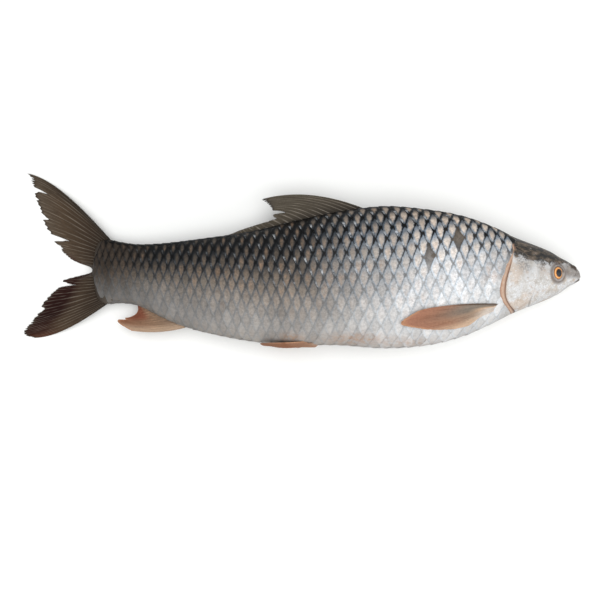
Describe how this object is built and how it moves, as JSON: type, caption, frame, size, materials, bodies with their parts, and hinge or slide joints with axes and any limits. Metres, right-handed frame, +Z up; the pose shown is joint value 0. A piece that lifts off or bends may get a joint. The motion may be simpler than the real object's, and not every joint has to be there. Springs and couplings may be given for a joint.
{
  "type": "whole raw fish",
  "caption": "Whole raw river carp lying on its left side, ungutted, with its fins folded and its forked tail spread.",
  "frame": {"origin": "middle of the outline seen from above, on the surface that the fish lies on", "axes": "+X towards the snout, +Y towards the back, +Z up out of the right flank"},
  "size_m": [0.4614, 0.1464, 0.0557],
  "materials": {
    "skin": "wet scaled fish skin",
    "gill_cover": "wet silvery skin over thin bone",
    "eye": "clear wet eyeball with a gold iris",
    "dusky_fin": "wet rayed fin skin, grey-brown",
    "ruddy_fin": "wet rayed fin skin, orange-brown"
  },
  "bodies": {
    "root": {"body": "skin", "right_gill_cover": "gill_cover", "left_gill_cover": "gill_cover", "right_eye": "eye", "left_eye": "eye", "dorsal_fin": "dusky_fin", "tail_fin": "dusky_fin", "anal_fin": "ruddy_fin", "right_pectoral_fin": "ruddy_fin", "left_pectoral_fin": "ruddy_fin", "right_pelvic_fin": "ruddy_fin", "left_pelvic_fin": "ruddy_fin"}
  },
  "joints": []
}
